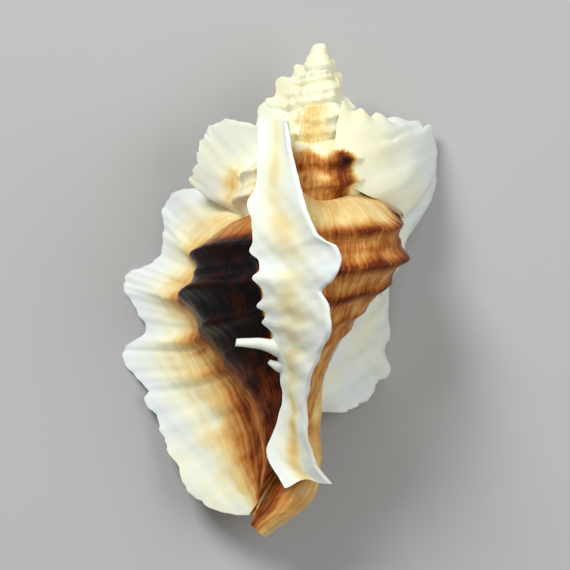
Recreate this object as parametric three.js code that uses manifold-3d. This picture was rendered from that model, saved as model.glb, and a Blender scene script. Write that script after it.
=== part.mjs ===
// Winged murex shell, lying with its opening down. Millimetres, +Z up, apex toward +Y.
import * as THREE from 'three';
import { mergeVertices } from 'three/addons/utils/BufferGeometryUtils.js';
import Module from 'manifold-3d';

// Growth: every turn is the one before it, made larger about the apex.
const TURN_GROWTH = 1.6;
const FIRST_TURN_START = -228.5;
const AXIS_ABOVE_TABLE = 14.5;
const TRAILING_SPAN = 32;
const WING_EDGE_HALF = 0.3;
const OLDEST_TURN = 3;
const CANAL_BEND_FROM = 52;
const CANAL_BEND = 4.6;
const CANAL_BEND_LENGTH = 20;
const APERTURE_DEPTH = 85;
const WALL_SHARE = 0.95;

// Rows run from the suture to the tip of the canal, as heights below the apex at growth angle 0.
const ROWS = [
  22.3, 22.8, 23.6, 24.6, 25.6, 26.6, 27.4, 27.9, 28.4, 29, 29.8, 30.5, 31.2, 31.9, 32.6, 33.2,
  33.9, 34.6, 35.3, 36.1, 36.9, 37.6, 38.4, 39.1, 39.9, 40.7, 41.5, 42.3, 43.1, 44.1, 45.2,
  46.4, 47.8, 49.4, 51, 52.8, 54.6, 56.4, 58,
];
const SMALL_TURN_LAST_ROW = 39.5;

// Radius of the whorl at each row.
const PROFILE = [
  [22.3, 6.8], [23.5, 8.8], [25, 11.3], [27, 13.5], [28.4, 14.5], [30.8, 14.2], [33.8, 15.3],
  [36.3, 14.2], [39, 12.5], [42.6, 9.6], [46, 7], [50, 4.9], [54, 3.5], [58, 2.6],
];

// Spiral cords: row, height, half width.
const CORDS = [
  [28.4, 0.8, 0.75], [31.1, 0.3, 0.5], [33.9, 1.2, 0.9], [38.4, 1, 0.8], [42.3, 0.6, 0.7],
  [45.5, 0.4, 0.7],
];

// One swelling follows each wing: angle after the wing, half width, height.
const NODE_AFTER = 40;
const NODE_HALF = 24;
const NODE_HEIGHT = 1;
const NODE_ROW = 31.5;
const NODE_ROW_HALF = 5;
const UNDERSIDE_NODE = 0.2;

// Growth angle at the leading foot of each wing of the last turn.
const WING_ANGLE = { right: -98, middle: 26, left: 130 };
const WING_ORDER = ['right', 'middle', 'left'];

// Outer edge of each wing: row, height below the apex, sideways place, height above the axis.
const EDGE_LEFT = [
  [22.3, 25, -9, -5.5], [23.2, 22.6, -13.8, -8.2], [24.4, 22, -18.2, -10.2],
  [25.6, 23.4, -20.9, -11.6], [26.8, 25.2, -21.8, -12.4], [28.4, 28.2, -21.5, -12.7],
  [29.6, 31, -21.7, -12.9], [30.8, 33.3, -22.8, -13.4], [32.2, 34.6, -25.8, -14.3],
  [33.6, 36.3, -27.1, -14.7], [35, 38.2, -26.6, -14.4], [36.2, 40.6, -24.9, -13.8],
  [37.4, 42.9, -23.5, -13.4], [38.2, 44.6, -24.2, -13.7], [39, 45.8, -26.1, -14.4],
  [39.9, 46.9, -26.6, -14.7], [41, 49.2, -25.9, -14.2], [42.2, 51.2, -23.6, -13.3],
  [43, 52.4, -22.7, -12.8], [43.8, 53.8, -23, -12.8], [45, 56, -21.1, -12],
  [46.6, 58.8, -20.1, -11.3], [48.2, 61.5, -18.8, -10.5], [49.6, 63.7, -17, -9.5],
  [50.8, 65.8, -16.5, -8.9], [52.4, 67.9, -14.4, -7.8], [54.2, 69.4, -11.8, -6.4],
  [56.2, 69.8, -8.6, -4.8], [58, 69.6, -6.4, -3.4],
];
const EDGE_RIGHT = [
  [22.3, 11.6, 7.2, -3.5], [22.9, 10.6, 11.3, -7], [23.6, 10.4, 13.6, -9], [24.4, 10.3, 15.3, -10.4],
  [24.8, 11.3, 15.8, -10.8], [25.2, 10.8, 16.8, -11.5], [26, 12.6, 17.8, -12.8],
  [27.2, 15, 18.2, -13.9], [28.6, 18.4, 18.3, -14.7], [30, 21, 18, -14.6], [31.4, 23.6, 16.9, -14],
  [32.8, 26.5, 15.2, -13.4], [34.2, 29.2, 13.6, -12.9], [36, 32.4, 12.4, -12.6],
  [38, 36, 12.1, -12.9], [40, 39.8, 12.3, -13.6], [41.6, 42.4, 12.7, -14.2],
  [42.6, 43.9, 12, -14], [43.8, 45.6, 12.3, -14.3], [45, 47.3, 13.1, -14.7], [46, 48.4, 12.6, -14.3],
  [47, 49.3, 11.2, -13.2], [49, 51.5, 10.1, -11.8], [51.5, 53, 8.1, -9.6], [54.5, 54, 5.5, -7],
  [58, 54.1, 2.5, -4.5],
];
const EDGE_MIDDLE = [
  [22.3, 13.5, -2.5, 5.5], [22.8, 11.8, -4.3, 10], [23.6, 13.5, -4.1, 13], [24.6, 16.5, -3.6, 15.5],
  [26, 20.5, -2.4, 18.5], [27.6, 25, -0.7, 21.5], [28.8, 28.4, 1.1, 23.5], [30.2, 29.9, 3.6, 25],
  [31.6, 32.2, 4.2, 25.2], [33.4, 34.6, 3.4, 24], [35, 36.3, 1.7, 21.8], [36.6, 38.1, 2.9, 22.2],
  [38.4, 41, 3.5, 21.8], [40.4, 43.2, 2.9, 19.8], [42.6, 45.8, 1.9, 17], [45.5, 49.5, 0.9, 13.6],
  [48.5, 53.5, 0.7, 10.8], [51.5, 57.2, 1.1, 8.8], [54.5, 60.6, 2.2, 7], [56.4, 62.8, 3.6, 5.8],
  [58, 64.3, 4.9, 4.8],
];
const EDGE_OLDER_LEFT = [
  [22.3, 13.8, -5.5, -1], [23.2, 12.6, -8.6, -2], [24.2, 11.9, -11.2, -2.5], [25.4, 11.7, -13.3, -3],
  [26.8, 12.8, -15.1, -3.3], [28.2, 14.6, -16.3, -3.6], [29.8, 16.4, -17.1, -4],
  [31.5, 18.2, -17, -4.2], [33.2, 19.8, -17.4, -4.4], [34.6, 21.3, -18, -4.8],
  [35.4, 23.2, -15.6, -5.2], [36.4, 25, -11.8, -5.6], [39.5, 28, -9, -5],
];
const EDGE_OLDER_RIGHT = [
  [22.3, 9.6, 3.4, 1], [22.9, 8.4, 4.7, 0], [24, 9.2, 6, -1.2], [25, 9.8, 7.3, -2.2],
  [26.2, 9.6, 9, -3.4], [27.4, 8.9, 10.7, -4.6], [28.6, 10.4, 11.5, -5.2], [30.6, 13.6, 11.9, -6],
  [33, 17, 11.8, -6.4], [36, 20.4, 10.4, -6.4], [39.5, 24, 8, -6],
];

// Inner rim of the middle wing, the lip of the shell when it stopped there.
const RIM_MIDDLE = [
  [22.3, 14.5, -5, 5], [22.8, 11.6, -8.2, 8], [23.8, 16.1, -8.1, 10.4], [25.2, 21.2, -8.1, 12.4],
  [27, 25.5, -8.2, 13.8], [28.4, 28.6, -8.2, 14.8], [30.8, 31.8, -7.2, 15], [33.8, 35, -6.6, 15.6],
  [36.3, 38, -6.1, 14.6], [39, 40.8, -5.2, 13], [42.6, 44.4, -4.2, 10.6], [46, 48, -3.3, 8.4],
  [50, 52.2, -2.8, 6.4], [53, 56, -3.3, 5.6], [54.5, 58.8, -4.5, 5], [56, 61, -4.3, 4.8],
  [57, 63.2, -3, 5], [58, 65.2, -1.8, 5.4],
];

// Top of the right wing's rim, which lies on the turn above.
const RIM_RIGHT_TOP = [
  [22.3, 10.5, 2.8, 1.6], [22.8, 8.3, 3.6, 2], [23.8, 12.3, 3.2, 5.2], [25.2, 16.6, 3.2, 7],
  [26.3, 20.2, 4.4, 7.4], [27.2, 21.8, 8, 5], [28.2, 23, 11.8, 1.2],
];
const RIGHT_TOP_SWELL = [1.8, -0.6, 6.2];
const RIM_TEETH = [26.3, 30, 33.6, 37, 39.6];
const RIM_TOOTH_HALF = 0.8;
const RIM_TOOTH_REACH = 1.35;

// How far the wings of older turns stand out, beside those of the last turn.
const OLDER_REACH = {
  1: { right: 0.08, middle: 0.06, left: 1 },
  2: { right: 0.25, middle: 0.1, left: 0.75 },
  3: { right: 0.5, middle: 0.12, left: 1 },
};

// Columns of the opening: share of the way across, share of the hollow's depth.
const APERTURE_COLUMNS = [
  [0.1, 0], [0.16, 0.75], [0.3, 1], [0.5, 1], [0.7, 0.8], [0.88, 0.35],
];

// Canal and the two teeth: place across, height below apex, height above axis, radius.
const CANAL = [
  [0, 46, 0, 3.4], [0.1, 54, -0.6, 3], [0.5, 61, -1.2, 3], [0.1, 64.6, -1.8, 3.1],
  [-2, 68, -2.2, 2.7], [-4.6, 71, -2.4, 1.7],
];
const LONG_TOOTH = [
  [-3, 44.6, 9.2, 1.7], [-4.9, 44.5, 10.6, 1], [-7.2, 44.3, 11, 0.75], [-9.8, 44.2, 11.1, 0.55],
];
const SMALL_TOOTH = [[-2.6, 47.4, 7.6, 1.2], [-3.9, 47.2, 8.8, 0.8], [-5, 46.7, 9.2, 0.4]];
const SPIRE_TIP = [
  [0, 0], [0.8, 0.1], [1.15, 0.6], [1.25, 1.2], [1.5, 1.7], [2.05, 2.4], [2.15, 2.9], [2.5, 3.4],
  [3, 4.2], [3.1, 5], [2.4, 6.4], [0, 7.4],
];
const COLUMELLA = [[0, 1.5, 0, 0.5], [0, 12, 0, 3.6], [0, 24, 0, 7], [0, 46, 0, 3]];
const TUBE_SIDES = 10;
const HAIR = 0.003;

const radians = (degrees) => (degrees * Math.PI) / 180;
const growth = (angle) => TURN_GROWTH ** (angle / 360);
const mix = (a, b, share) => a.map((value, i) => value + (b[i] - value) * share);
const plus = (a, b, amount = 1) => a.map((value, i) => value + b[i] * amount);
const bump = (value, centre, half) => Math.exp(-(((value - centre) / half) ** 2));
const between = (value, low, high) => Math.min(1, Math.max(0, (value - low) / (high - low)));
const fromSketch = ([height, across, up]) => [across, -height, up];

// Smooth curve through hand-placed points; the first number of each is the place along it.
function curveAt(points, place) {
  const last = points.length - 1;
  const at = Math.min(points[last][0], Math.max(points[0][0], place));
  let i = 0;
  while (i < last - 1 && at > points[i + 1][0]) i += 1;
  const slope = (j) => {
    const a = points[Math.max(0, j - 1)];
    const b = points[Math.min(last, j + 1)];
    return b.slice(1).map((value, k) => (value - a[k + 1]) / (b[0] - a[0]));
  };
  const from = points[i];
  const to = points[i + 1];
  const step = to[0] - from[0];
  const t = (at - from[0]) / step;
  const startSlope = slope(i);
  const endSlope = slope(i + 1);
  const start = 2 * t ** 3 - 3 * t ** 2 + 1;
  return from.slice(1).map((value, k) => value * start + to[k + 1] * (1 - start)
    + step * ((t ** 3 - 2 * t ** 2 + t) * startSlope[k] + (t ** 3 - t ** 2) * endSlope[k]));
}

function nodeAt(angle) {
  const turn = ((angle - FIRST_TURN_START) % 360 + 360) % 360 + FIRST_TURN_START;
  const under = UNDERSIDE_NODE * bump(turn, WING_ANGLE.left - 360 + NODE_AFTER, NODE_HALF);
  const right = bump(turn, WING_ANGLE.right + NODE_AFTER, NODE_HALF);
  return under + right + bump(turn, WING_ANGLE.middle + NODE_AFTER, NODE_HALF);
}

function bodyPoint(angle, row) {
  const size = growth(angle);
  const node = nodeAt(angle) * between(size, 0.5, 0.74);
  let radius = curveAt(PROFILE, row)[0];
  CORDS.forEach(([place, height, half]) => {
    radius += height * (0.55 + 0.6 * node) * bump(row, place, half);
  });
  radius += NODE_HEIGHT * node * bump(row, NODE_ROW, NODE_ROW_HALF);
  const bend = CANAL_BEND * (Math.max(0, row * size - CANAL_BEND_FROM) / CANAL_BEND_LENGTH) ** 2;
  const turn = radians(angle);
  return [-size * radius * Math.sin(turn) - bend, -size * row, size * radius * Math.cos(turn)];
}

// Direction in which the shell grows, at a point.
function forward(point) {
  const reach = Math.hypot(point[0], point[2]);
  return [-point[2] / reach, 0, point[0] / reach];
}

// The same place, turned about the axis and resized by the growth over that angle.
function grown(point, angle) {
  const turn = radians(angle);
  const size = growth(angle);
  const x = point[0] * Math.cos(turn) - point[2] * Math.sin(turn);
  const z = point[0] * Math.sin(turn) + point[2] * Math.cos(turn);
  return [x * size, point[1] * size, z * size];
}

function rimPoint(angle, row) {
  const rim = fromSketch(curveAt(RIM_MIDDLE, row));
  let tooth = 0;
  RIM_TEETH.forEach((place) => {
    tooth += RIM_TOOTH_REACH * bump(row, place, RIM_TOOTH_HALF);
  });
  return grown(plus(rim, forward(rim), tooth), angle - WING_ANGLE.middle);
}

function edgePoint(turn, name, row) {
  const own = { right: EDGE_RIGHT, middle: EDGE_MIDDLE, left: EDGE_LEFT };
  const older = { right: EDGE_OLDER_RIGHT, left: EDGE_OLDER_LEFT };
  if (turn === 1 && older[name]) return fromSketch(curveAt(older[name], row));
  return grown(fromSketch(curveAt(own[name], row)), -360 * turn);
}

// Columns of one wing at a row: up the trailing face, over the edge, down the leading face to the rim.
function wingColumn(turn, name, row, trailing, leading) {
  const angle = WING_ANGLE[name] - 360 * turn;
  const size = growth(angle);
  const foot = bodyPoint(angle, row);
  const start = bodyPoint(angle - TRAILING_SPAN, row);
  const rooted = row === ROWS[0] ? 0.06 : 1;
  const older = turn === 0 ? 1 : OLDER_REACH[turn][name] * (1 - 0.94 * between(row, 35, 39));
  const reach = rooted * older;
  const edge = mix(foot, edgePoint(turn, name, row), reach);
  const ahead = forward(edge);
  const half = WING_EDGE_HALF * Math.min(1, size * 1.4);
  const rise = bodyPoint(angle - 0.3 * TRAILING_SPAN, row);
  const trailingPull = mix(rise, edge, 0.1);
  let lipEnd = name === 'middle' ? 0 : 0.85 * between(row, 46, 53);
  if (name === 'left') lipEnd += 0.7 * (1 - between(row, 23, 27));
  if (turn > 0) lipEnd = Math.max(lipEnd, 0.95 * between(row, 28, 33));
  const onRightTop = turn === 0 && name === 'right';
  let wholeRim = rimPoint(angle, row);
  const topRim = fromSketch(curveAt(RIM_RIGHT_TOP, row));
  if (onRightTop) wholeRim = mix(topRim, wholeRim, between(row, 27.6, 28.6));
  const rim = mix(foot, wholeRim, Math.min(1, reach) * (1 - lipEnd));
  const chord = mix(edge, rim, 0.5);
  const hollow = mix(chord, trailingPull, 0.4);
  const swell = onRightTop ? 1 - between(row, 27.4, 30) : 0;
  const leadingPull = plus([hollow[0], chord[1], hollow[2]], RIGHT_TOP_SWELL, swell);
  const bend = (a, b, c, t) => mix(mix(a, b, t), mix(b, c, t), t);
  const columns = [];
  for (let i = 1; i <= trailing; i += 1) {
    columns.push(bend(start, trailingPull, plus(edge, ahead, -half), i / trailing));
  }
  columns.push(mix(edge, foot, -0.02));
  for (let i = 0; i <= leading; i += 1) {
    columns.push(bend(plus(edge, ahead, half), plus(leadingPull, ahead, half), rim, i / leading));
  }
  columns.push(plus(mix(foot, rim, 0.4), forward(foot), -0.2 * size));
  return columns;
}

// Keeps a point of the hollow inside the wall of its own turn or of the turn above it.
function insideWall(place, angle) {
  const wall = (at) => {
    const row = -place[1] / growth(at);
    if (row < ROWS[0] || row > SMALL_TURN_LAST_ROW + 8) return 0;
    const point = bodyPoint(at, row);
    return Math.hypot(point[0], point[2]);
  };
  const most = WALL_SHARE * Math.max(wall(angle), wall(angle - 360));
  const share = Math.min(1, most / Math.hypot(place[0], place[2]));
  return [place[0] * share, place[1], place[2] * share];
}

// The opening: the lip profile shrinks toward the start of the turn and dips back into the whorl.
function apertureColumns(row) {
  const lip = bodyPoint(WING_ANGLE.left, row);
  const open = between(row, 29, 33.5) * (1 - between(row, 42.5, 47));
  return APERTURE_COLUMNS.map(([across, depth]) => {
    const inside = lip.map((value) => value * (1 - across * (1 - 1 / TURN_GROWTH)));
    const back = APERTURE_DEPTH * open * depth;
    const place = grown(inside, -back);
    return back > 0 ? insideWall(place, WING_ANGLE.left - back) : place;
  });
}

// One turn of the shell as a closed grid of rows and columns.
function turnMesh(turn, bodyColumns, trailing, leading, rows) {
  const grid = rows.map((row) => {
    const line = [];
    let from = FIRST_TURN_START - 360 * turn;
    WING_ORDER.forEach((name) => {
      const wingStart = WING_ANGLE[name] - 360 * turn - TRAILING_SPAN;
      for (let i = 0; i <= bodyColumns; i += 1) {
        line.push(bodyPoint(from + ((wingStart - from) * i) / bodyColumns, row));
      }
      line.push(...wingColumn(turn, name, row, trailing, leading));
      from = WING_ANGLE[name] - 360 * turn + 2;
    });
    if (turn === 0) line.push(bodyPoint(WING_ANGLE.left, row), ...apertureColumns(row));
    if (turn > 0) {
      const tongue = bodyPoint(from + 10, row);
      line.push([tongue[0] * 0.9, tongue[1], tongue[2] * 0.9]);
    }
    return line;
  });
  const middle = (line) => line.reduce((sum, point) => sum + point[1] / line.length, 0);
  const top = [0, middle(grid[0]), 0];
  const bottom = [0, middle(grid[grid.length - 1]), 0];
  return closedGrid(grid, top, bottom);
}

// Closed mesh from rings of points, with a pole at each end.
function closedGrid(rings, firstPole, lastPole) {
  const width = rings[0].length;
  const points = [...rings.flat(), firstPole, lastPole];
  const poleA = rings.length * width;
  const triangles = [];
  for (let j = 0; j < width; j += 1) {
    const k = (j + 1) % width;
    triangles.push(poleA, j, k);
    for (let i = 0; i < rings.length - 1; i += 1) {
      const a = i * width;
      const b = a + width;
      triangles.push(a + j, b + j, b + k, a + j, b + k, a + k);
    }
    const end = (rings.length - 1) * width;
    triangles.push(poleA + 1, end + k, end + j);
  }
  return { points, triangles };
}

// Round tube along hand-placed points; a cup is sunk into the far end when asked.
function tubeMesh(path, cup) {
  const at = path.map(([across, height, up]) => new THREE.Vector3(across, -height, up));
  const ring = (centre, along, radius) => {
    const side = new THREE.Vector3(0, 0, 1).cross(along).normalize();
    const upward = along.clone().cross(side).normalize();
    return Array.from({ length: TUBE_SIDES }, (_, i) => {
      const turn = (2 * Math.PI * i) / TUBE_SIDES;
      const point = centre.clone().addScaledVector(side, radius * Math.cos(turn));
      return point.addScaledVector(upward, radius * Math.sin(turn)).toArray();
    });
  };
  const last = at.length - 1;
  const direction = (i) => at[Math.min(last, i + 1)].clone().sub(at[Math.max(0, i - 1)]).normalize();
  const rings = at.map((centre, i) => ring(centre, direction(i), path[i][3]));
  let end = at[last];
  if (cup > 0) {
    rings.push(ring(at[last], direction(last), path[last][3] * 0.6));
    end = at[last].clone().addScaledVector(direction(last), -cup);
    rings.push(ring(end, direction(last), path[last][3] * 0.5));
  }
  return closedGrid(rings, at[0].toArray(), end.toArray());
}

const wasm = await Module();
wasm.setup();

function solid({ points, triangles }) {
  const build = (order) => new wasm.Manifold(new wasm.Mesh({
    numProp: 3, vertProperties: new Float32Array(points.flat()), triVerts: new Uint32Array(order),
  }));
  const made = build(triangles);
  return made.volume() > 0 ? made : build([...triangles].reverse());
}

function shapeSolid(shape) {
  shape.deleteAttribute('normal');
  shape.deleteAttribute('uv');
  const joined = mergeVertices(shape, 1e-4);
  const position = joined.getAttribute('position');
  const points = Array.from({ length: position.count }, (_, i) => (
    [position.getX(i), position.getY(i), position.getZ(i)]
  ));
  return solid({ points, triangles: Array.from(joined.index.array) });
}

const smallRows = ROWS.filter((row, i) => row < SMALL_TURN_LAST_ROW && i % 2 === 0);
const pieces = [solid(turnMesh(0, 6, 4, 4, ROWS)), solid(turnMesh(1, 4, 3, 3, smallRows))];
for (let turn = 2; turn <= OLDEST_TURN; turn += 1) {
  const rows = smallRows.filter((row, i) => i % 2 === 0 || (turn < 3 && i < 8));
  pieces.push(solid(turnMesh(turn, 3, 2, 2, rows)));
}
pieces.push(solid(tubeMesh(CANAL, 5)), solid(tubeMesh(COLUMELLA, 0)));
pieces.push(solid(tubeMesh(LONG_TOOTH, 0)), solid(tubeMesh(SMALL_TOOTH, 0)));
const tipOutline = SPIRE_TIP.map(([radius, height]) => new THREE.Vector2(radius, -height));
pieces.push(shapeSolid(new THREE.LatheGeometry(tipOutline, 12)));

const whole = pieces.reduce((sum, piece) => sum.add(piece));
const table = new THREE.BoxGeometry(200, 300, 20);
table.translate(0, 0, -AXIS_ABOVE_TABLE - 10);
const cut = whole.subtract(shapeSolid(table));

// The joined turns leave specks of air and shell along the sutures: only the largest body is kept.
function largestBody(corners, count) {
  const parent = Array.from({ length: count }, (_, i) => i);
  const root = (i) => {
    let at = i;
    while (parent[at] !== at) at = parent[at];
    parent[i] = at;
    return at;
  };
  for (let i = 0; i < corners.length; i += 3) {
    parent[root(corners[i])] = root(corners[i + 1]);
    parent[root(corners[i + 1])] = root(corners[i + 2]);
  }
  const bodies = new Map();
  for (let i = 0; i < corners.length; i += 3) {
    const body = root(corners[i]);
    if (!bodies.has(body)) bodies.set(body, []);
    bodies.get(body).push(corners[i], corners[i + 1], corners[i + 2]);
  }
  return [...bodies.values()].sort((a, b) => b.length - a.length)[0];
}

// Corners that the joins left in one place are drawn apart, each a hair into the shell.
function parted(points, corners) {
  const raw = new THREE.BufferGeometry();
  raw.setAttribute('position', new THREE.BufferAttribute(points, 3));
  raw.setIndex(corners);
  raw.computeVertexNormals();
  const normals = raw.getAttribute('normal').array;
  const taken = [];
  const cells = new Map();
  const cellOf = (place) => place.map((value) => Math.round(value / HAIR));
  const near = (place) => {
    const [x, y, z] = cellOf(place);
    for (let i = 0; i < 27; i += 1) {
      const key = [x + (i % 3) - 1, y + (Math.floor(i / 3) % 3) - 1, z + Math.floor(i / 9) - 1].join(' ');
      if (cells.has(key)) return true;
    }
    return false;
  };
  [...new Set(corners)].forEach((corner) => {
    let place = Array.from(points.slice(corner * 3, corner * 3 + 3));
    const inward = Array.from(normals.slice(corner * 3, corner * 3 + 3));
    for (let step = 0; step < 6 && near(place); step += 1) place = plus(place, inward, -3 * HAIR);
    cells.set(cellOf(place).join(' '), corner);
    taken[corner] = place;
  });
  const apart = new Float32Array(corners.flatMap((corner) => taken[corner]));
  const shape = new THREE.BufferGeometry();
  shape.setAttribute('position', new THREE.BufferAttribute(apart, 3));
  return mergeVertices(shape, HAIR / 10);
}

const mesh = cut.getMesh();
const kept = largestBody(mesh.triVerts, mesh.vertProperties.length / 3);
const geometry = parted(new Float32Array(mesh.vertProperties), kept);
geometry.computeBoundingBox();
const centre = geometry.boundingBox.getCenter(new THREE.Vector3());
geometry.translate(-centre.x, -centre.y, AXIS_ABOVE_TABLE);
geometry.computeVertexNormals();

const shell = new THREE.Mesh(geometry, new THREE.MeshStandardMaterial({
  color: 0xe9e0cc, roughness: 0.45, metalness: 0,
}));
shell.name = 'shell';

const part = new THREE.Group();
part.name = 'murex_shell';
part.add(shell);

export default part;
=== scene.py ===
# %% [markdown]
# # A winged murex shell
# A murex grows by adding to the lip of one coiled tube. About three times a turn it stops and builds
# a flared lip, and each old lip stays on the shell as a wing. This lesson grows the shell from that
# rule: a ball is pushed into the shape of one turn, older turns are smaller copies, and all of them
# are joined into one body.

import math

import bpy
import numpy as np
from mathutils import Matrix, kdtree


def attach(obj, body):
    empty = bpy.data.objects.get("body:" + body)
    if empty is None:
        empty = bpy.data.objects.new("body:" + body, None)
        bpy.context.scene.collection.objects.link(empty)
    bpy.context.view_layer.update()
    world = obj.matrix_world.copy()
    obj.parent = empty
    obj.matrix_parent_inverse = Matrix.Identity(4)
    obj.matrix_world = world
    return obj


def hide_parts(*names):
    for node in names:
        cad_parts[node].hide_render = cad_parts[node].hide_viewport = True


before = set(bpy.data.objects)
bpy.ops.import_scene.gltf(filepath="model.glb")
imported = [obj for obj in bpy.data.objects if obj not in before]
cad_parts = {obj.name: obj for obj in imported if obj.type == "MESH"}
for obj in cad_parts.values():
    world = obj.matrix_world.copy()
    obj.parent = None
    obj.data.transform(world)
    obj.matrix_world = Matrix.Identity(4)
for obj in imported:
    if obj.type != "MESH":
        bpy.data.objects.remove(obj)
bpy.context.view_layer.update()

# %% [markdown]
# ## The growth law
# Every turn of a shell is the last one made larger about the apex, so one number sets the whole
# coil. A point is given by its growth angle and its row, which counts from the suture, where a turn
# meets the one above, down to the tip of the canal. All shape sizes are in millimetres.

# %% Growth numbers
MM = 0.001
TURN_GROWTH = 1.6
FIRST_ANGLE = -228.5
AXIS_ABOVE_TABLE = 14.5
AXIS_FROM_MIDDLE = 4.404
APEX_FROM_MIDDLE = 36.057
WING_ANGLE = {"right": -98.0, "middle": 26.0, "left": 130.0}
TRAILING_SPAN = 32.0
ROWS = [
    22.3, 22.8, 23.6, 24.6, 25.6, 26.6, 27.4, 27.9, 28.4, 29, 29.8, 30.5, 31.2, 31.9, 32.6, 33.2,
    33.9, 34.6, 35.3, 36.1, 36.9, 37.6, 38.4, 39.1, 39.9, 40.7, 41.5, 42.3, 43.1, 44.1, 45.2,
    46.4, 47.8, 49.4, 51, 52.8, 54.6, 56.4, 58,
]
# Row and radius.
PROFILE = [
    [22.3, 6.8], [23.5, 8.8], [25, 11.3], [27, 13.5], [28.4, 14.5], [30.8, 14.2], [33.8, 15.3],
    [36.3, 14.2], [39, 12.5], [42.6, 9.6], [46, 7], [50, 4.9], [54, 3.5], [58, 2.6],
]
# Row, height and half width of each spiral cord.
CORDS = [
    [28.4, 0.8, 0.75], [31.1, 0.3, 0.5], [33.9, 1.2, 0.9], [38.4, 1, 0.8], [42.3, 0.6, 0.7],
    [45.5, 0.4, 0.7],
]
CORD_SHARE = 0.55
CORD_ON_NODE = 0.6
CORD_LOST_WORN = 0.75
# Swollen nodes stand between the wings. Toward the spire they fade out between two sizes.
NODE_AFTER = 40.0
NODE_HALF = 24.0
NODE_HEIGHT = 1.0
NODE_SIZES = (0.5, 0.74)
UNDERSIDE_NODE = 0.2
# On the small old turns the cords are worn to knobs.
WORN_SIZES = (0.36, 0.62)
KNOB_HEIGHT = 0.75
KNOB_WAVES = 9.3
SMALL_KNOB_WAVES = 14.7
THREAD_HEIGHT = 0.025
THREAD_STEP = 0.63
# The canal leans aside from this far below the apex.
LEAN_FROM = 52
LEAN_OVER = 20
LEAN = 4.6


def growth(angle):
    """Size at a growth angle, where the last turn is 1 at angle 0."""
    return TURN_GROWTH ** (np.asarray(angle, float) / 360)


def bump(value, centre, half):
    """A round hill, 1 at the centre."""
    return np.exp(-(((np.asarray(value, float) - centre) / half) ** 2))


def straight_ramp(value, low, high):
    """0 below low, 1 above high, straight between."""
    return np.clip((np.asarray(value, float) - low) / (high - low), 0, 1)


def ramp(value, low, high):
    """The same with soft ends."""
    share = straight_ramp(value, low, high)
    return share * share * (3 - 2 * share)


def curve_at(points, places):
    """Smooth curve through listed points; the first number of each is its place."""
    table = np.asarray(points, float)
    x, y = table[:, 0], table[:, 1:]
    slope = np.empty_like(y)
    slope[1:-1] = (y[2:] - y[:-2]) / (x[2:] - x[:-2])[:, None]
    slope[0] = (y[1] - y[0]) / (x[1] - x[0])
    slope[-1] = (y[-1] - y[-2]) / (x[-1] - x[-2])
    place = np.clip(np.asarray(places, float), x[0], x[-1])
    i = np.clip(np.searchsorted(x, place, side="left") - 1, 0, len(x) - 2)
    step = (x[i + 1] - x[i])[:, None]
    t = ((place - x[i]) / (x[i + 1] - x[i]))[:, None]
    first_share = 2 * t**3 - 3 * t**2 + 1
    curl = (t**3 - 2 * t**2 + t) * slope[i] + (t**3 - t**2) * slope[i + 1]
    return y[i] * first_share + y[i + 1] * (1 - first_share) + step * curl


def node_at(angle):
    """Height share of the nodes, one past each wing."""
    turn = (np.asarray(angle, float) - FIRST_ANGLE) % 360 + FIRST_ANGLE
    under = UNDERSIDE_NODE * bump(turn, WING_ANGLE["left"] - 360 + NODE_AFTER, NODE_HALF)
    right = bump(turn, WING_ANGLE["right"] + NODE_AFTER, NODE_HALF)
    return under + right + bump(turn, WING_ANGLE["middle"] + NODE_AFTER, NODE_HALF)


def whorl_radius(angle, row):
    """Radius of the whorl, before it is resized by its growth."""
    angle, row = np.broadcast_arrays(np.asarray(angle, float), np.asarray(row, float))
    size = growth(angle)
    node = node_at(angle) * ramp(size, *NODE_SIZES)
    radius = curve_at(PROFILE, row.ravel())[:, 0].reshape(row.shape)
    worn = 1 - ramp(size, *WORN_SIZES)
    for place, height, half in CORDS:
        cord = height * (CORD_SHARE + CORD_ON_NODE * node) * (1 - CORD_LOST_WORN * worn)
        radius = radius + cord * bump(row, place, half)
    turn = np.radians(angle)
    knob = np.cos(turn * KNOB_WAVES) + 0.5 * np.cos(turn * SMALL_KNOB_WAVES + row)
    radius = radius + KNOB_HEIGHT * worn * knob * bump(row, 31, 4)
    radius = radius + NODE_HEIGHT * node * bump(row, 31.5, 5)
    thread = THREAD_HEIGHT * np.sin(2 * np.pi * row / THREAD_STEP)
    return radius + thread * ramp(row, 23, 25) * (1 - ramp(row, 46, 50))


def body_points(angles, rows):
    """Whorl surface, one line of rows for each growth angle."""
    angle = np.atleast_1d(np.asarray(angles, float))[None, :]
    row = np.asarray(rows, float)[:, None]
    size = growth(angle)
    radius = whorl_radius(angle, row)
    lean = LEAN * (np.maximum(0, row * size - LEAN_FROM) / LEAN_OVER) ** 2
    turn = np.radians(angle)
    return np.stack([
        -size * radius * np.sin(turn) - lean,
        -size * row + 0 * turn,
        size * radius * np.cos(turn),
    ], axis=-1)


print("last turn is", TURN_GROWTH, "times the one before; rows:", len(ROWS))

# %% [markdown]
# ## Wings
# A wing is an old lip: its edge was drawn out into lobes where the spiral cords ran into it. Each
# edge and the inner rim of the middle wing are given by a few points: row, height below the apex,
# place across and height above the coiling axis.

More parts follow.
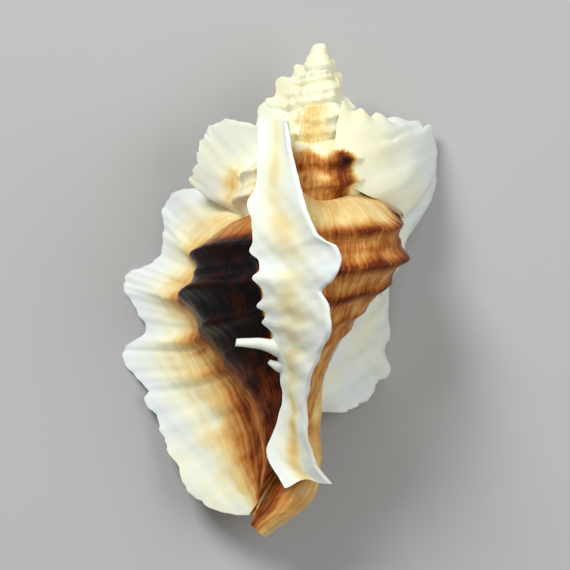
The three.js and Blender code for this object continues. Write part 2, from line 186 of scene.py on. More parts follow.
# %% Wing outlines
EDGE = {
    "left": [
        [22.3, 25, -9, -5.5], [23.2, 22.6, -13.8, -8.2], [24.4, 22, -18.2, -10.2],
        [25.6, 23.4, -20.9, -11.6], [26.8, 25.2, -21.8, -12.4], [28.4, 28.2, -21.5, -12.7],
        [29.6, 31, -21.7, -12.9], [30.8, 33.3, -22.8, -13.4], [32.2, 34.6, -25.8, -14.3],
        [33.6, 36.3, -27.1, -14.7], [35, 38.2, -26.6, -14.4], [36.2, 40.6, -24.9, -13.8],
        [37.4, 42.9, -23.5, -13.4], [38.2, 44.6, -24.2, -13.7], [39, 45.8, -26.1, -14.4],
        [39.9, 46.9, -26.6, -14.7], [41, 49.2, -25.9, -14.2], [42.2, 51.2, -23.6, -13.3],
        [43, 52.4, -22.7, -12.8], [43.8, 53.8, -23, -12.8], [45, 56, -21.1, -12],
        [46.6, 58.8, -20.1, -11.3], [48.2, 61.5, -18.8, -10.5], [49.6, 63.7, -17, -9.5],
        [50.8, 65.8, -16.5, -8.9], [52.4, 67.9, -14.4, -7.8], [54.2, 69.4, -11.8, -6.4],
        [56.2, 69.8, -8.6, -4.8], [58, 69.6, -6.4, -3.4],
    ],
    "right": [
        [22.3, 11.6, 7.2, -3.5], [22.9, 10.6, 11.3, -7], [23.6, 10.4, 13.6, -9],
        [24.4, 10.3, 15.3, -10.4], [24.8, 11.3, 15.8, -10.8], [25.2, 10.8, 16.8, -11.5],
        [26, 12.6, 17.8, -12.8], [27.2, 15, 18.2, -13.9], [28.6, 18.4, 18.3, -14.7],
        [30, 21, 18, -14.6], [31.4, 23.6, 16.9, -14], [32.8, 26.5, 15.2, -13.4],
        [34.2, 29.2, 13.6, -12.9], [36, 32.4, 12.4, -12.6], [38, 36, 12.1, -12.9],
        [40, 39.8, 12.3, -13.6], [41.6, 42.4, 12.7, -14.2], [42.6, 43.9, 12, -14],
        [43.8, 45.6, 12.3, -14.3], [45, 47.3, 13.1, -14.7], [46, 48.4, 12.6, -14.3],
        [47, 49.3, 11.2, -13.2], [49, 51.5, 10.1, -11.8], [51.5, 53, 8.1, -9.6],
        [54.5, 54, 5.5, -7], [58, 54.1, 2.5, -4.5],
    ],
    "middle": [
        [22.3, 13.5, -2.5, 5.5], [22.8, 11.8, -4.3, 10], [23.6, 13.5, -4.1, 13],
        [24.6, 16.5, -3.6, 15.5], [26, 20.5, -2.4, 18.5], [27.6, 25, -0.7, 21.5],
        [28.8, 28.4, 1.1, 23.5], [30.2, 29.9, 3.6, 25], [31.6, 32.2, 4.2, 25.2],
        [33.4, 34.6, 3.4, 24], [35, 36.3, 1.7, 21.8], [36.6, 38.1, 2.9, 22.2],
        [38.4, 41, 3.5, 21.8], [40.4, 43.2, 2.9, 19.8], [42.6, 45.8, 1.9, 17],
        [45.5, 49.5, 0.9, 13.6], [48.5, 53.5, 0.7, 10.8], [51.5, 57.2, 1.1, 8.8],
        [54.5, 60.6, 2.2, 7], [56.4, 62.8, 3.6, 5.8], [58, 64.3, 4.9, 4.8],
    ],
}
OLDER_EDGE = {
    "left": [
        [22.3, 13.8, -5.5, -1], [23.2, 12.6, -8.6, -2], [24.2, 11.9, -11.2, -2.5],
        [25.4, 11.7, -13.3, -3], [26.8, 12.8, -15.1, -3.3], [28.2, 14.6, -16.3, -3.6],
        [29.8, 16.4, -17.1, -4], [31.5, 18.2, -17, -4.2], [33.2, 19.8, -17.4, -4.4],
        [34.6, 21.3, -18, -4.8], [35.4, 23.2, -15.6, -5.2], [36.4, 25, -11.8, -5.6],
        [39.5, 28, -9, -5],
    ],
    "right": [
        [22.3, 9.6, 3.4, 1], [22.9, 8.4, 4.7, 0], [24, 9.2, 6, -1.2], [25, 9.8, 7.3, -2.2],
        [26.2, 9.6, 9, -3.4], [27.4, 8.9, 10.7, -4.6], [28.6, 10.4, 11.5, -5.2],
        [30.6, 13.6, 11.9, -6], [33, 17, 11.8, -6.4], [36, 20.4, 10.4, -6.4], [39.5, 24, 8, -6],
    ],
}
RIM_MIDDLE = [
    [22.3, 14.5, -5, 5], [22.8, 11.6, -8.2, 8], [23.8, 16.1, -8.1, 10.4], [25.2, 21.2, -8.1, 12.4],
    [27, 25.5, -8.2, 13.8], [28.4, 28.6, -8.2, 14.8], [30.8, 31.8, -7.2, 15],
    [33.8, 35, -6.6, 15.6], [36.3, 38, -6.1, 14.6], [39, 40.8, -5.2, 13], [42.6, 44.4, -4.2, 10.6],
    [46, 48, -3.3, 8.4], [50, 52.2, -2.8, 6.4], [53, 56, -3.3, 5.6], [54.5, 58.8, -4.5, 5],
    [56, 61, -4.3, 4.8], [57, 63.2, -3, 5], [58, 65.2, -1.8, 5.4],
]
RIM_RIGHT_TOP = [
    [22.3, 10.5, 2.8, 1.6], [22.8, 8.6, 3.6, 2], [23.8, 12.3, 3.2, 5.2], [25.2, 16.6, 3.2, 7],
    [26.3, 20.2, 4.4, 7.4], [27.2, 21.8, 8, 5], [28.2, 23, 11.8, 1.2],
]
RIGHT_TOP_SWELL = np.array([1.8, -0.6, 6.2])
RIM_TEETH = [26.3, 30, 33.6, 37, 39.6]
RIM_TOOTH_HALF = 0.8
RIM_TOOTH_REACH = 1.35
# Share of its full reach that each wing of an older turn keeps.
OLDER_REACH = {
    1: {"right": 0.08, "middle": 0.06, "left": 1},
    2: {"right": 0.25, "middle": 0.1, "left": 1.0},
    3: {"right": 0.5, "middle": 0.12, "left": 1.3},
    4: {"right": 0.7, "middle": 0.2, "left": 1.3},
}
EDGE_HALF_THICK = 0.3
ROOT_REACH = 0.06
CRINKLE_HEIGHT = 0.17
CRINKLE_STEP = 1.9
SMALL_CRINKLE_STEP = 0.87
RIDGE_HEIGHT = 0.9
RIDGE_HALF = 0.85
SCALLOP_HEIGHT = 0.5
SCALLOPS = 3.2
NOTCH_DEPTH = 1.1
# Faces of a wing and the other surfaces, as the marks name them.
TRAILING, CREST, LEADING, HOLLOW, TUBE = 0, 0.5, 1, 2, 3


def from_sketch(points):
    """Turns height below the apex, place across and height above the axis into x, y and z."""
    return np.stack([points[:, 1], -points[:, 0], points[:, 2]], axis=-1)


def forward(points):
    """Direction in which the shell grows, at each point."""
    reach = np.hypot(points[..., 0], points[..., 2])
    return np.stack([-points[..., 2] / reach, 0 * reach, points[..., 0] / reach], axis=-1)


def grown(points, angle):
    """The same place, turned about the axis and resized by the growth over that angle."""
    turn = np.radians(angle)
    x = points[..., 0] * np.cos(turn) - points[..., 2] * np.sin(turn)
    z = points[..., 0] * np.sin(turn) + points[..., 2] * np.cos(turn)
    return np.stack([x, points[..., 1], z], axis=-1) * np.asarray(growth(angle))[..., None]


def bend(a, b, c, share):
    """Curve from a to c pulled toward b."""
    t = np.asarray(share, float)[None, :, None]
    a, b, c = a[:, None, :], b[:, None, :], c[:, None, :]
    return (1 - t) ** 2 * a + 2 * t * (1 - t) * b + t * t * c


def marks_of(grid, angle, row, stand, face):
    """Growth angle, row, share of a wing's height and face, for each point of a grid."""
    marks = np.zeros(grid.shape[:2] + (4,))
    for number, value in enumerate((angle, row, stand, face)):
        marks[..., number] = value
    return marks


def rim_points(turn, name, rows):
    """Inner rim of a wing, toothed like the middle wing's; the right wing's top has its own."""
    rim = from_sketch(curve_at(RIM_MIDDLE, rows))
    tooth = 0
    for place in RIM_TEETH:
        tooth = tooth + RIM_TOOTH_REACH * bump(rows, place, RIM_TOOTH_HALF)
    angle = WING_ANGLE[name] - 360 * turn
    rim = grown(rim + forward(rim) * np.asarray(tooth)[:, None], angle - WING_ANGLE["middle"])
    if name == "right" and turn == 0:
        top = from_sketch(curve_at(RIM_RIGHT_TOP, rows))
        rim = top + (rim - top) * straight_ramp(rows, 27.6, 28.6)[:, None]
    return rim


def rim_drawn_in(turn, name, rows):
    """How far the inner rim draws in to the foot of the wing: 0 not at all, 1 wholly."""
    drawn = np.zeros_like(rows)
    if name != "middle":
        drawn = 0.85 * straight_ramp(rows, 46, 53)
    if name == "right":
        drawn = drawn + 0.7 * ramp(rows, 28, 28.8) * (1 - ramp(rows, 33, 37))
    if name == "left":
        drawn = drawn + 0.7 * (1 - straight_ramp(rows, 23, 27))
    if turn > 0:
        drawn = np.maximum(drawn, 0.95 * straight_ramp(rows, 28, 33))
    return drawn


def edge_points(turn, name, rows):
    """Edge of a wing at full reach."""
    if turn == 1 and name in OLDER_EDGE:
        return from_sketch(curve_at(OLDER_EDGE[name], rows))
    return grown(from_sketch(curve_at(EDGE[name], rows)), -360.0 * turn)


def wing_reach(turn, name, rows):
    """Share of the full reach, row by row: a wing is rooted in the suture."""
    rooted = ROOT_REACH + (1 - ROOT_REACH) * straight_ramp(rows, ROWS[0], ROWS[1])
    if turn == 0:
        return rooted
    return rooted * (OLDER_REACH[turn][name] * (1 - 0.94 * straight_ramp(rows, 35, 39)))


def edge_crinkle(rows):
    """Small waves along an edge."""
    wave = np.sin(2 * np.pi * rows / CRINKLE_STEP)
    wave = wave + 0.6 * np.sin(2 * np.pi * rows / SMALL_CRINKLE_STEP + 1)
    return wave * ramp(rows, 23.5, 25) * (1 - ramp(rows, 52, 55))


def wing_ridges(turn, rows):
    """Ridges across a wing, which run on from the cords."""
    ridge = -0.3
    for place, height, _ in CORDS:
        ridge = ridge + RIDGE_HEIGHT * min(1, height + 0.2) * bump(rows, place, RIDGE_HALF)
    return ridge * ramp(rows, 24, 27) * (1 - ramp(rows, 46, 50)) * (0.8 if turn == 0 else 0.3)


def wing_points(turn, name, rows, trailing, leading):
    """Up the trailing face, over the edge and down the leading face to the rim, with marks."""
    rows = np.asarray(rows, float)
    angle = WING_ANGLE[name] - 360 * turn
    size = growth(angle)
    foot = body_points(angle, rows)[:, 0]
    start = body_points(angle - TRAILING_SPAN, rows)[:, 0]
    reach = wing_reach(turn, name, rows)[:, None]
    edge = foot + (edge_points(turn, name, rows) - foot) * reach
    if turn < 2 and name != "middle":
        outward = (edge - foot) / np.linalg.norm(edge - foot, axis=1, keepdims=True)
        crinkle = edge_crinkle(rows) * np.minimum(1, reach[:, 0])
        edge = edge + outward * [1, 1, 0] * (CRINKLE_HEIGHT * crinkle)[:, None]
    ahead = forward(edge)
    half = EDGE_HALF_THICK * min(1, size * 1.4)
    rise = body_points(angle - 0.3 * TRAILING_SPAN, rows)[:, 0]
    pull = rise + (edge - rise) * 0.1
    drawn = rim_drawn_in(turn, name, rows)
    whole_rim = rim_points(turn, name, rows)
    rim = foot + (whole_rim - foot) * np.minimum(1, reach) * (1 - drawn)[:, None]
    chord = (edge + rim) / 2
    leading_pull = chord + (pull - chord) * [0.4, 0, 0.4] + ahead * half
    if name == "right" and turn == 0:
        leading_pull = leading_pull + RIGHT_TOP_SWELL * (1 - ramp(rows, 27.4, 30))[:, None]
    out = np.linspace(0, 1, trailing + 1)[1:]
    back = np.linspace(0, 1, leading + 1)
    tip = edge - (foot - edge) * 0.012
    under = foot + (rim - foot) * 0.4 - forward(foot) * 0.2 * size
    grid = np.concatenate([
        bend(start, pull, edge - ahead * half, out), tip[:, None],
        bend(edge + ahead * half, leading_pull, rim, back), under[:, None],
    ], axis=1)
    stand = np.concatenate([out, [1], 1 - back, [0]])
    face = np.concatenate([TRAILING + 0 * out, [CREST], LEADING + 0 * back, [LEADING]])
    grow = np.concatenate([
        angle - TRAILING_SPAN * (1 - out), [angle], angle + 0 * back, [angle],
    ])
    swell = np.sin(np.pi * np.clip(stand, 0, 1) ** 1.3) ** 1.5
    push = forward(foot) * (size * wing_ridges(turn, rows) * reach[:, 0])[:, None]
    grid = grid - push[:, None] * swell[None, :, None]
    if name == "right" and turn == 0:
        scallop = SCALLOP_HEIGHT * np.cos(2 * np.pi * SCALLOPS * stand) * (face > TRAILING)
        near_top = straight_ramp(rows, ROWS[0], ROWS[1]) - ramp(rows, ROWS[1], 24.6)
        grid[..., 1] += scallop[None, :] * near_top[:, None]
    marks = marks_of(grid, grow[None, :], rows[:, None], stand[None, :], face[None, :])
    if turn > 0 and name == "middle":
        marks[..., 2:] = 0
    if turn == 0 and name == "middle":
        notch = np.sin(np.pi * np.clip(stand, 0, 1)) ** 2
        grid[..., 1] += NOTCH_DEPTH * notch[None, :] * ramp(rows, 55.5, ROWS[-1])[:, None]
    return grid, marks


print("wings a turn:", len(WING_ANGLE))

# %% [markdown]
# ## The opening
# The last lip stays open. Its profile shrinks toward the start of the turn, and between them the
# surface dips back into the whorl, which makes the hollow that the animal lived in.

# %% Hollow behind the lip
# Place across the opening and share of the depth there.
APERTURE_ACROSS = [
    [0, 0], [0.1, 0.02], [0.16, 0.75], [0.3, 1], [0.5, 1], [0.7, 0.8], [0.88, 0.35], [1, 0],
]
APERTURE_DEPTH = 85.0
APERTURE_COLUMNS = 30
OPENING_ROWS = (29, 33.5)
CLOSING_ROWS = (42.5, 47)
WALL_SHARE = 0.95
WALL_LAST_ROW = 47.5


def inside_wall(grid, angle, moved):
    """Keeps the hollow inside the wall of its own turn or of the turn above it."""
    most = 0
    for at in (angle, angle - 360):
        row = -grid[..., 1] / growth(at)
        within = (row > ROWS[0]) & (row < WALL_LAST_ROW)
        most = np.maximum(most, np.where(within, whorl_radius(at, row) * growth(at), 0))
    share = np.minimum(1, WALL_SHARE * most / np.hypot(grid[..., 0], grid[..., 2]))
    share = np.where(moved, share, 1)[..., None]
    return grid * np.concatenate([share, np.ones_like(share), share], axis=-1)


def aperture_points(rows, columns):
    """Surface between the last lip and the start of the turn, with marks."""
    rows = np.asarray(rows, float)
    lip = body_points(WING_ANGLE["left"], rows)
    across = np.linspace(0.02, 0.97, columns)
    depth = np.clip(curve_at(APERTURE_ACROSS, across)[:, 0], 0, 1)
    opened = straight_ramp(rows, *OPENING_ROWS) * (1 - straight_ramp(rows, *CLOSING_ROWS))
    inside = lip * (1 - across * (1 - 1 / TURN_GROWTH))[None, :, None]
    back = APERTURE_DEPTH * opened[:, None] * depth[None, :]
    grid = inside_wall(grown(inside, -back), WING_ANGLE["left"] - back, back > 0)
    return grid, marks_of(grid, WING_ANGLE["left"], rows[:, None], 0, HOLLOW)


print("the hollow runs back", APERTURE_DEPTH, "degrees")

# %% [markdown]
# ## One turn from a ball
# A ball has the same net as one closed turn: its meridians become growth lines and its parallels
# become the spiral rows. So a ball with enough segments is added, and each of its points is moved
# to its place on the turn.

# %% Push a ball into shape
UNEVEN_HEIGHT = 0.12
SMALL_WAVE = 0.3
# The waves fade out toward the table.
UNEVEN_FROM = (-13.6, -11.5)
# Turn by turn: columns of the body between wings, of a trailing and a leading face, row divisions.
TURN_NETS = [(44, 36, 36, 4), (26, 20, 18, 3), (20, 12, 12, 2), (14, 8, 8, 1), (12, 6, 6, 1)]
OLDER_LAST_ROW = 39.5
# Degrees past a wing where the body goes on, and from there to the end of an older turn.
PAST_WING = 1
TURN_END = 11
every_place = []
every_mark = []


def uneven(place):
    """Small waves that keep the surface from looking turned on a lathe."""
    x, y, z = place.T
    wave = np.stack([
        np.sin(0.9 * y + 0.7 * z) + SMALL_WAVE * np.sin(2.9 * y - 1.7 * x),
        np.sin(0.8 * x - 0.6 * z + 1) + SMALL_WAVE * np.sin(2.3 * z + 1.9 * x),
        np.sin(0.7 * x + 0.8 * y + 2) + SMALL_WAVE * np.sin(2.1 * y + 2.3 * x),
    ], axis=-1)
    return UNEVEN_HEIGHT * wave * ramp(z, *UNEVEN_FROM)[:, None]


def shaped_ball(name, grid, marks, top, bottom):
    """Adds a ball with the net of the grid and moves its points there; its poles close the ends."""
    rows, columns = grid.shape[:2]
    bpy.ops.object.select_all(action="DESELECT")
    bpy.ops.mesh.primitive_uv_sphere_add(segments=columns, ring_count=rows + 1, radius=1)
    piece = bpy.context.object
    piece.name = name
    ball = np.empty(len(piece.data.vertices) * 3)
    piece.data.vertices.foreach_get("co", ball)
    ball = ball.reshape(-1, 3)
    row = np.rint(np.arccos(np.clip(ball[:, 2], -1, 1)) / np.pi * (rows + 1)).astype(int) - 1
    turn = np.rint(np.arctan2(ball[:, 1], ball[:, 0]) / (2 * np.pi) * columns).astype(int)
    column = -turn % columns
    inner = np.clip(row, 0, rows - 1)
    place = grid[inner, column]
    place[row < 0] = top
    place[row >= rows] = bottom
    place = place + uneven(place)
    place = (place + [AXIS_FROM_MIDDLE, APEX_FROM_MIDDLE, AXIS_ABOVE_TABLE]) * MM
    piece.data.vertices.foreach_set("co", place.ravel())
    piece.data.update()
    every_place.append(place)
    every_mark.append(marks[inner, column])
    print(name, "faces:", len(piece.data.polygons))
    return piece


def finer(rows, times):
    """The same rows with each step divided."""
    steps = np.arange((len(rows) - 1) * times + 1) / times
    return np.interp(steps, np.arange(len(rows)), rows)


def turn_ball(turn, body_columns, trailing, leading, rows):
    """One turn: body and wing three times, then the hollow or a closed end."""
    grids, marks = [], []
    begin = FIRST_ANGLE - 360 * turn
    for name in ("right", "middle", "left"):
        angle = WING_ANGLE[name] - 360 * turn
        angles = np.linspace(begin, angle - TRAILING_SPAN, body_columns)
        grid = body_points(angles, rows)
        wing, wing_mark = wing_points(turn, name, rows, trailing, leading)
        grids += [grid, wing]
        marks += [marks_of(grid, angles[None, :], rows[:, None], 0, TRAILING), wing_mark]
        begin = angle + PAST_WING
    if turn == 0:
        grid, mark = aperture_points(rows, APERTURE_COLUMNS)
    else:
        grid = body_points(begin + TURN_END, rows) * [0.9, 1, 0.9]
        mark = marks[-1][:, -1:]
    grid = np.concatenate(grids + [grid], axis=1)
    mark = np.concatenate(marks + [mark], axis=1)
    top = [0, grid[0, :, 1].mean(), 0]
    bottom = [0, grid[-1, :, 1].mean(), 0]
    return shaped_ball("turn_%d" % turn, grid, mark, top, bottom)


small_rows = [row for row in ROWS if row < OLDER_LAST_ROW]
turns = []
for turn, (body_columns, trailing, leading, times) in enumerate(TURN_NETS):
    turn_rows = finer(small_rows if turn else ROWS, times)
    turns.append(turn_ball(turn, body_columns, trailing, leading, turn_rows))

# %% [markdown]
# ## Spire tip, canal and teeth
# The first turns are worn to a blunt tip. The canal carried the animal's siphon, so it ends in an
# open tube. A long tooth and a small one stand on the old lip of the middle wing.

# %% Tubes along a few points
# Radius and height below the apex.
SPIRE_TIP = [
    [0.7, 0.1], [1.05, 0.5], [1.2, 1.1], [1.35, 1.6], [1.75, 2.1], [1.9, 2.6], [2.2, 3.2],
    [1.9, 4.2],
]
# Place across, height below the apex, height above the axis and radius.
CANAL = [
    [0, 46, 0, 3.4], [0.1, 54, -0.6, 3], [0.5, 61, -1.2, 3], [0.1, 64.6, -1.8, 3.1],
    [-2, 68, -2.2, 2.7], [-4.6, 71, -2.4, 1.7],
]
LONG_TOOTH = [
    [-3, 44.6, 9.2, 1.7], [-4.9, 44.5, 10.6, 1], [-7.2, 44.3, 11, 0.75], [-9.8, 44.2, 11.1, 0.55],
]
SMALL_TOOTH = [[-2.6, 47.4, 7.6, 1.2], [-3.9, 47.2, 8.8, 0.7], [-5, 46.7, 9.2, 0.35]]
COLUMELLA = [[0, 1.5, 0, 0.5], [0, 12, 0, 3.6], [0, 24, 0, 7], [0, 46, 0, 3]]
TIP_PATH = [[0, height, 0, radius] for radius, height in SPIRE_TIP]
# Share of the radius and of the depth, from the rim of the cup to its floor.
CUP_STEPS = ((0.85, -0.2), (0.62, -0.1), (0.55, 0.5), (0.5, 1))
CUP_DEPTH = 5
# Growth angle that is spread round the canal, for its streak.
CUP_GROWTH = 60
SPIRE_MARK = [-1600, 0, 0, TRAILING]
CANAL_MARK = [110, 0, 0, TUBE]
TOOTH_MARK = [WING_ANGLE["middle"], 0, 1, LEADING]
# Name, path, sides, steps, depth of the cup and mark.
TUBES = [
    ("columella", COLUMELLA, 32, 40, 0, SPIRE_MARK),
    ("canal", CANAL, 40, 40, CUP_DEPTH, CANAL_MARK),
    ("long_tooth", LONG_TOOTH, 24, 24, 0, TOOTH_MARK),
    ("small_tooth", SMALL_TOOTH, 20, 16, 0, TOOTH_MARK),
    ("spire_tip", TIP_PATH, 40, 40, 0, SPIRE_MARK),
]


def tube_ball(name, path, sides, steps, cup, mark_as):
    """A round tube along listed points; a cup is sunk into the far end when asked."""
    table = np.asarray(path, float)
    places = np.column_stack([np.linspace(0, 1, len(table)), table])
    at = curve_at(places, np.linspace(0, 1, steps))
    centre = from_sketch(at[:, [1, 0, 2]])
    radius = at[:, 3]
    along = np.gradient(centre, axis=0)
    along /= np.linalg.norm(along, axis=1, keepdims=True)
    side = np.cross([0, 0, 1.0], along)
    side /= np.linalg.norm(side, axis=1, keepdims=True)
    upward = np.cross(along, side)
    if cup:
        for share, back in CUP_STEPS:
            centre = np.vstack([centre, centre[steps - 1] - along[steps - 1] * cup * back])
            radius = np.append(radius, radius[steps - 1] * share)
            side, upward = np.vstack([side, side[-1]]), np.vstack([upward, upward[-1]])
    turn = np.linspace(0, 2 * np.pi, sides, endpoint=False)
    across, up = np.cos(turn)[None, :, None], np.sin(turn)[None, :, None]
    ring = side[:, None] * across + upward[:, None] * up
    grid = centre[:, None] + ring * radius[:, None, None]
    marks = marks_of(grid, *mark_as)
    if cup:
        marks[..., 0] += np.linspace(0, CUP_GROWTH, sides, endpoint=False)[None, :]
    marks[..., 1] = -grid[..., 1] / growth(marks[..., 0])
    return shaped_ball(name, grid, marks, centre[0], centre[-1])


fused = turns[1:] + [tube_ball(*tube) for tube in TUBES]

# %% [markdown]
# ## One body
# The turns run through each other, as the whorls of a shell grow over the older ones. A Boolean
# union joins them, so that only the outer surface is left, and the lobes that the shell lies on are
# cut flat at the table.

# %% Join the turns
shell = turns[0]
shell.name = "murex_shell"
for piece in fused:
    bpy.ops.object.select_all(action="DESELECT")
    shell.select_set(True)
    bpy.context.view_layer.objects.active = shell
    join = shell.modifiers.new("join", "BOOLEAN")
    join.operation = "UNION"
    join.solver = "MANIFOLD"
    join.object = piece
    bpy.ops.object.modifier_apply(modifier=join.name)
    bpy.data.objects.remove(piece)
print("joined faces:", len(shell.data.polygons))

# %% Cut the resting lobes
CUT_HEIGHT = 0.00001
CUT_THRESHOLD = 0.0000001
SHARP_FROM = 50
bpy.ops.object.mode_set(mode="EDIT")
bpy.ops.mesh.select_all(action="SELECT")
bpy.ops.mesh.bisect(plane_co=(0, 0, CUT_HEIGHT), plane_no=(0, 0, 1), use_fill=True,
                    clear_inner=True, threshold=CUT_THRESHOLD)
bpy.ops.mesh.select_all(action="SELECT")
bpy.ops.mesh.normals_make_consistent(inside=False)
bpy.ops.object.mode_set(mode="OBJECT")
bpy.ops.object.shade_smooth_by_angle(angle=math.radians(SHARP_FROM))
print("shell faces:", len(shell.data.polygons))

# %% [markdown]
# ## Marks that the colours follow
# The colours of a shell were laid down with its growth, so they follow growth angle and row, not
# the place in space. Each point of the joined shell takes these from the nearest point that it came
# from.

# %% Find each point's growth angle, row, wing share and face
places = np.concatenate(every_place)
marks = np.concatenate(every_mark)
finder = kdtree.KDTree(len(places))
for number, place in enumerate(places):
    finder.insert(place, number)
finder.balance()
nearest = [finder.find(vertex.co)[1] for vertex in shell.data.vertices]
mark = marks[nearest]
turn_number = np.round(np.clip((WING_ANGLE["left"] - mark[:, 0]) // 360, 0, 5))
angle = mark[:, 0] + 360 * turn_number
row, stand, face = mark[:, 1], mark[:, 2], mark[:, 3]
print("points marked:", len(nearest))

# %% [markdown]
# ## Depth of colour
# The depth is one number: 0 is white, 1 is nearly black, and the steps between are cream, ochre,
# orange-brown and red-brown. Angles are growth angles on the last turn.

# %% Lay down the depth
# Row and depth of the brown rays on the left wing.
RAYS = ((33.4, 0.4), (37.2, 0.5), (39.2, 0.54), (41.6, 0.54))
RAY_HALF = 0.55
RAY_SLANT = 1.6
BROWN = 0.46
BLACK = 0.98
UNDERSIDE = 0.42
HOLLOW_DEPTH = 0.12
CANAL_DEPTH = 0.3
CANAL_STREAK = 0.36
RIGHT_WING_END = -60
left = ramp(angle, 20, 30)
right = ramp(angle, -112, -98) * (1 - left)
slope = 1 - ramp(row, 26.4, 28.2)
cord = np.clip(sum(height * bump(row, place, half) for place, height, half in CORDS), 0, 1)


def last_body():
    """Orange-brown on the right and nearly black on the left, paler above the shoulder."""
    lower = ramp(row, 40, 47)
    # Painted shade: darker right side at the wing and silhouette, fading toward the top.
    painted_side_shade = 1 - ramp(angle, -92, RIGHT_WING_END)
    brown = BROWN - 0.22 * slope - 0.04 * lower + 0.3 * painted_side_shade * (1 - 0.3 * slope)
    brown = brown + 0.2 * cord * (1 - slope)
    black = BLACK - 0.52 * slope - 0.2 * lower - 0.3 * ramp(angle, 70, 96) * (1 - slope)
    return right * brown + left * black + (1 - right - left) * UNDERSIDE


def trailing_face(body):
    """The body's colour runs out along the cords in rays that fade toward the edge."""
    wide = sum(min(1, height + 0.3) * bump(row, place, 1.1) for place, height, _ in CORDS)
    base = 1 - ramp(stand, 0.0, 0.7)
    rays = body * base * (0.32 + 0.62 * np.clip(wide, 0, 1)) + 0.14 * (1 - ramp(stand, 0.6, 1))
    slanted = row - RAY_SLANT * stand
    for place, strength in RAYS:
        ray = strength * bump(slanted, place, RAY_HALF) * (1 - ramp(stand, 0.22, 0.85)) * left
        rays = np.maximum(rays, ray)
    neck = 0.5 * slope * (1 - ramp(stand, 0.12, 0.4)) * ramp(angle, 80, 97)
    fan = 0.62 * (1 - ramp(stand, 0.12, 0.85)) + 0.06 * ramp(row, 44, 50)
    return np.maximum(np.maximum(rays, neck), ramp(row, 36, 47) * fan)


def leading_face():
    """Nearly white, with a cream middle and a brown end at the canal."""
    pale = 0.02 + 0.1 * bump(stand, 0.5, 0.22)
    canal_end = ramp(row, 47, 51) * bump(angle, WING_ANGLE["middle"], 20)
    pale = pale + 0.13 * bump(stand, 0.6, 0.14) * canal_end
    on_right = angle < RIGHT_WING_END
    pale = np.where(on_right, 0.02 + 0.04 * bump(stand, 0.3, 0.2), pale)
    pale = np.where((angle > 100) & (row > 48), UNDERSIDE, pale)
    # Right wing's top: cream toward the body, partly own colour and partly painted soft shade.
    right_top_cream_and_shade = 0.07 * (1 - ramp(stand, 0.3, 0.95)) + 0.01
    return np.where(on_right & (row < 29), right_top_cream_and_shade, pale)


def last_turn():
    """The last turn with its wings, hollow and canal."""
    body = last_body()
    on_wing = ramp(stand, 0, 0.16)
    last = body * (1 - on_wing) + trailing_face(body) * on_wing
    last = np.where(face >= LEADING, leading_face(), last)
    last = np.where(face >= HOLLOW, HOLLOW_DEPTH, last)
    canal = CANAL_DEPTH + CANAL_STREAK * bump(mark[:, 0], 133, 8)
    return np.where(face >= TUBE, canal, last)


def older_turn():
    """The turn before: cream, with one brown patch whose border wanders."""
    wander = row + 0.8 * np.sin(angle / 9) + 0.5 * np.sin(angle / 4 + 1)
    patch = ramp(angle, -46, -34) * (1 - ramp(angle, 40, 60)) * ramp(wander, 25, 27)
    body = 0.1 + 0.34 * patch + 0.3 * bump(angle, -30, 9) * ramp(row, 25, 27)
    body = body + 0.14 * bump(row, 29, 1.5) * patch
    body = body - 0.2 * bump(angle, -8, 9) * bump(wander, 31, 1.4)
    wing = 0.04 + 0.2 * bump(row, 31, 2.2) * bump(stand, 0.45, 0.2)
    wing = wing + 0.12 * cord * (1 - ramp(stand, 0.3, 0.8))
    return np.where((face >= LEADING) | (stand > 0.25), wing, body)


def colour_depth():
    """Depth of every point; the worn spire is cream."""
    spire = 0.06 + 0.18 * bump(angle, 5, 24) * (turn_number == 2) + 0.03 * (turn_number > 2)
    early = np.where(turn_number == 1, older_turn(), spire)
    return np.where(turn_number == 0, last_turn(), early)


def give(name, values):
    """Keeps one number for each point, for the finish to read."""
    layer = shell.data.attributes.new(name, "FLOAT", "POINT")
    layer.data.foreach_set("value", np.asarray(values, np.float32))


give("growth", angle)
give("row", row)
give("depth", colour_depth())
print("numbers on each point:", "growth, row, depth")

# %% [markdown]
# ## The finish
# One scale of colours runs from white through cream, ochre and orange-brown to nearly black. Noise
# on the growth net breaks the depth into streaks and blotches.

# %% Shell finish
STOPS = [
    (0.0, (0.82, 0.89, 0.88)), (0.09, (0.89, 0.87, 0.62)), (0.2, (0.82, 0.64, 0.28)),
    (0.34, (0.68, 0.38, 0.12)), (0.5, (0.44, 0.15, 0.028)), (0.68, (0.17, 0.035, 0.009)),
    (0.86, (0.035, 0.009, 0.005)), (1.0, (0.008, 0.006, 0.007)),
]
STREAKS = 0.9
BLOTCHES = 1.1
# White and black parts are marked less than the browns.
LEAST_NOISE = 0.05
NOISE_TOP = 1.35
LINE_STRENGTH = 0.07
LINE_HEIGHT = 0.0004
SPECULAR = 0.06
ROUGHNESS = 0.36
finish = bpy.data.materials.new("murex_finish")
finish.use_nodes = True
nodes, links = finish.node_tree.nodes, finish.node_tree.links
surface = nodes["Principled BSDF"]


def attribute(name):
    """Reads a number kept on the points."""
    node = nodes.new("ShaderNodeAttribute")
    node.attribute_name = name
    return node.outputs["Fac"]


def math_node(operation, a, b):
    """Joins two numbers or sockets by one operation."""
    node = nodes.new("ShaderNodeMath")
    node.operation = operation
    for socket, value in zip(node.inputs, (a, b)):
        if isinstance(value, (int, float)):
            socket.default_value = value
        else:
            links.new(value, socket)
    return node.outputs[0]


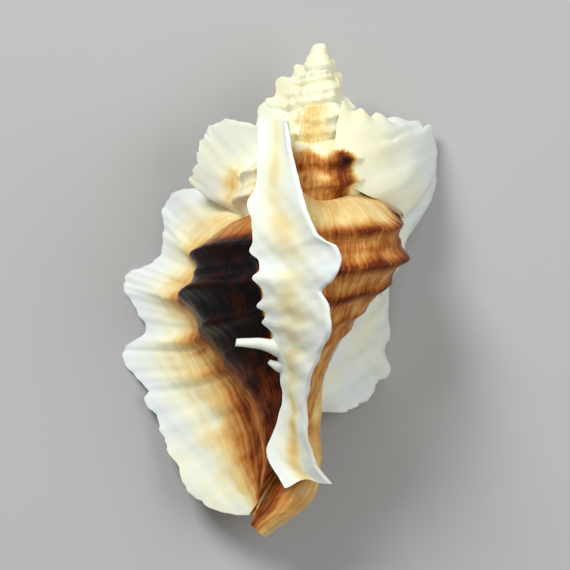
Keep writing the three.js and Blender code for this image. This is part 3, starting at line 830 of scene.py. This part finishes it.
def noise(along_growth, along_rows, detail):
    """Noise on the growth net: the first two numbers are its fineness along growth and rows."""
    place = nodes.new("ShaderNodeCombineXYZ")
    links.new(math_node("MULTIPLY", attribute("growth"), along_growth), place.inputs["X"])
    links.new(math_node("MULTIPLY", attribute("row"), along_rows), place.inputs["Y"])
    grain = nodes.new("ShaderNodeTexNoise")
    grain.inputs["Scale"].default_value = 1
    grain.inputs["Detail"].default_value = detail
    links.new(place.outputs[0], grain.inputs["Vector"])
    return math_node("SUBTRACT", grain.outputs["Fac"], 0.5)


depth = attribute("depth")
streaks = math_node("MULTIPLY", noise(0.55, 0.2, 5), STREAKS)
blotches = math_node("MULTIPLY", noise(0.085, 0.4, 3), BLOTCHES)
both = math_node("ADD", streaks, blotches)
browns = math_node("MULTIPLY", depth, math_node("SUBTRACT", NOISE_TOP, depth))
strength = math_node("ADD", browns, LEAST_NOISE)
shade = math_node("ADD", depth, math_node("MULTIPLY", both, strength))
colours = nodes.new("ShaderNodeValToRGB")
while len(colours.color_ramp.elements) < len(STOPS):
    colours.color_ramp.elements.new(1)
for element, (place, colour) in zip(colours.color_ramp.elements, STOPS):
    element.position = place
    element.color = (*colour, 1)
links.new(shade, colours.inputs[0])
links.new(colours.outputs["Color"], surface.inputs["Base Color"])
lines = nodes.new("ShaderNodeBump")
lines.inputs["Strength"].default_value = LINE_STRENGTH
lines.inputs["Distance"].default_value = LINE_HEIGHT
links.new(math_node("ADD", noise(0.9, 0.5, 4), noise(0.12, 2.2, 2)), lines.inputs["Height"])
links.new(lines.outputs["Normal"], surface.inputs["Normal"])
surface.inputs["Specular IOR Level"].default_value = SPECULAR
surface.inputs["Roughness"].default_value = ROUGHNESS
shell.data.materials.clear()
shell.data.materials.append(finish)
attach(shell, "root")
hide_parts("shell")
print("colour stops:", len(STOPS))

# %% [markdown]
# ## Table, light and camera
# The shell lies on a plain pale table under soft light. The camera looks straight down on it.

# %% Table
TABLE_SIZE = 3
TABLE_GREY = (0.46, 0.46, 0.455, 1)
TABLE_ROUGHNESS = 0.8
bpy.ops.object.select_all(action="DESELECT")
bpy.ops.mesh.primitive_plane_add(size=TABLE_SIZE)
table = bpy.context.object
table.name = "table"
cover = bpy.data.materials.new("table_cover")
cover.use_nodes = True
cover_surface = cover.node_tree.nodes["Principled BSDF"]
cover_surface.inputs["Base Color"].default_value = TABLE_GREY
cover_surface.inputs["Roughness"].default_value = TABLE_ROUGHNESS
table.data.materials.append(cover)
print("table, m:", TABLE_SIZE)

# %% Lights
SKY = 0.27
# Name, place, width and power.
LIGHTS = [("key", (-0.28, 0.4, 0.5), 0.24, 3.8), ("fill", (0.4, 0.08, 0.5), 0.4, 1.6)]
world = bpy.context.scene.world or bpy.data.worlds.new("studio")
bpy.context.scene.world = world
world.use_nodes = True
world.node_tree.nodes["Background"].inputs["Color"].default_value = (1, 1, 1, 1)
world.node_tree.nodes["Background"].inputs["Strength"].default_value = SKY
for name, place, width, power in LIGHTS:
    bpy.ops.object.light_add(type="AREA", location=place)
    lamp = bpy.context.object
    lamp.name = name
    lamp.data.size = width
    lamp.data.energy = power
    towards = -lamp.location
    lamp.rotation_euler = towards.to_track_quat("-Z", "Y").to_euler()
print("lights:", len(LIGHTS))

# %% Camera
CAMERA_DISTANCE = 0.8
SENSOR_WIDTH = 36
# The middle of the picture, from the coiling axis and the apex.
VIEW_ACROSS = -3.2
VIEW_DOWN = 35.6
VIEW_TURN = 3.08
# Width of the picture at this height above the table.
VIEW_WIDTH = 83.4
VIEW_HEIGHT = 16
bpy.ops.object.camera_add(location=(
    (VIEW_ACROSS + AXIS_FROM_MIDDLE) * MM, (APEX_FROM_MIDDLE - VIEW_DOWN) * MM, CAMERA_DISTANCE,
))
camera = bpy.context.object
camera.rotation_euler = (0, 0, math.radians(VIEW_TURN))
camera.data.sensor_width = SENSOR_WIDTH
camera.data.lens = SENSOR_WIDTH * (CAMERA_DISTANCE * 1000 - VIEW_HEIGHT) / VIEW_WIDTH
bpy.context.scene.camera = camera
bpy.context.scene.view_settings.view_transform = "Standard"
print("lens, mm:", round(camera.data.lens, 1))
